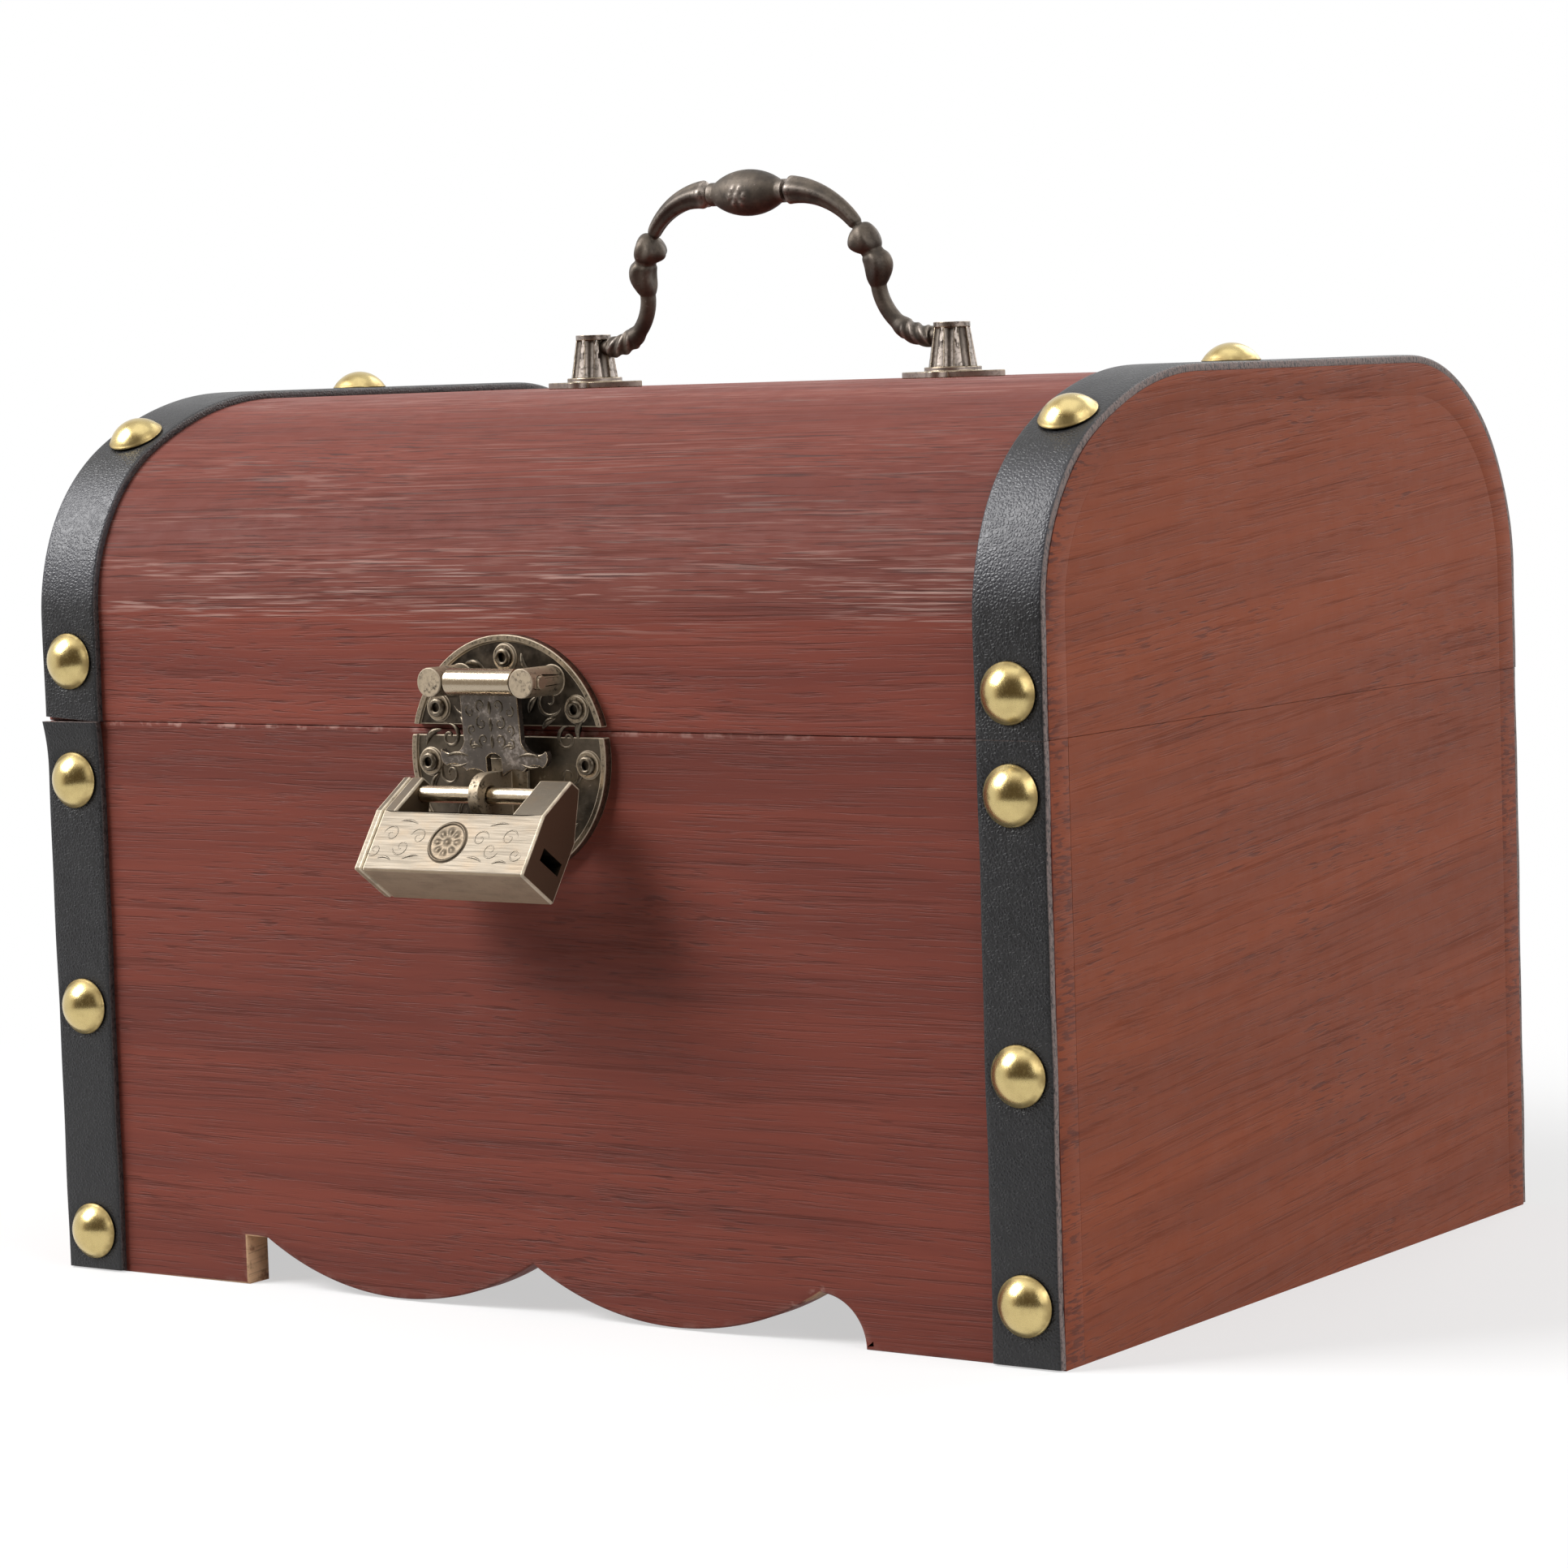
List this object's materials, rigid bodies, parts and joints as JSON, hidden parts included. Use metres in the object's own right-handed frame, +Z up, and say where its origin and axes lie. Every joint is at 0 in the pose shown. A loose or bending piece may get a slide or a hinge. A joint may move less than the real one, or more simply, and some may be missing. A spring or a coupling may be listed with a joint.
{
  "type": "treasure chest box",
  "caption": "Small wooden treasure chest box with an arched hinged lid, leather straps with dome nails, a bail handle on top and a hasp latch held by a hanging padlock.",
  "frame": {"origin": "on the floor, under the middle of the whole part's outline in X and Y", "axes": "+X to the right along the front, +Y from the front to the back, +Z up"},
  "size_m": [0.22, 0.1984, 0.2029],
  "materials": {
    "stained_wood": "red-brown stain under a thin satin lacquer, with fine dark grain",
    "raw_wood": "bare pale plywood",
    "black_leather": "black grained leather with raw grey cut edges",
    "brass_nails": "polished domes",
    "antique_bronze": "dark antique patina rubbed back to brass on the edges",
    "padlock_brass": "aged brass, brighter on the edges",
    "spring_steel": "plain"
  },
  "bodies": {
    "chest": {"front_panel": "stained_wood", "back_panel": "stained_wood", "left_side_panel": "stained_wood", "right_side_panel": "stained_wood", "bottom_board": "raw_wood", "front_left_body_strap": "black_leather", "front_right_body_strap": "black_leather", "back_left_body_strap": "black_leather", "back_right_body_strap": "black_leather", "body_strap_nails": "brass_nails", "latch_lower_plate": "antique_bronze", "latch_staple": "antique_bronze", "latch_lower_pins": "antique_bronze", "left_hinge_body_leaf": "antique_bronze", "right_hinge_body_leaf": "antique_bronze", "left_hinge_pin": "spring_steel", "right_hinge_pin": "spring_steel", "hinge_body_screws": "antique_bronze"},
    "lid": {"lid_skin": "stained_wood", "lid_left_end": "stained_wood", "lid_right_end": "stained_wood", "left_lid_strap": "black_leather", "right_lid_strap": "black_leather", "lid_strap_nails": "brass_nails", "latch_upper_plate": "antique_bronze", "hasp_pin": "antique_bronze", "latch_upper_pins": "antique_bronze", "left_hinge_lid_leaf": "antique_bronze", "right_hinge_lid_leaf": "antique_bronze", "hinge_lid_screws": "antique_bronze", "handle_left_foot": "antique_bronze", "handle_right_foot": "antique_bronze", "handle_left_post": "antique_bronze", "handle_right_post": "antique_bronze", "handle_screws": "spring_steel"},
    "hasp": {"hasp": "antique_bronze"},
    "bail": {"handle_bail": "antique_bronze"},
    "padlock": {"padlock_body": "padlock_brass"},
    "padlock_bolt": {"padlock_bolt": "padlock_brass", "padlock_springs": "spring_steel"}
  },
  "joints": [
    {"name": "lid_hinge", "type": "hinge", "parent": "chest", "child": "lid", "pos_m": [0, 0.09662, 0.10415], "axis": [-1, 0, 0], "range_deg": [0, 110]},
    {"name": "hasp_hinge", "type": "hinge", "parent": "lid", "child": "hasp", "pos_m": [0, -0.08448, 0.113], "axis": [-1, 0, 0], "range_deg": [0, 170]},
    {"name": "handle_fold", "type": "hinge", "parent": "lid", "child": "bail", "pos_m": [0, 0.00622, 0.1707], "axis": [1, 0, 0], "range_deg": [-100, 80]},
    {"name": "padlock_swing", "type": "hinge", "parent": "chest", "child": "padlock", "pos_m": [0, -0.08468, 0.0932], "axis": [1, 0, 0], "range_deg": [-55, 35]},
    {"name": "padlock_bolt_slide", "type": "slide", "parent": "padlock", "child": "padlock_bolt", "axis": [-1, 0, 0], "range_m": [0, 0.02], "deforming": ["padlock_springs"]}
  ]
}
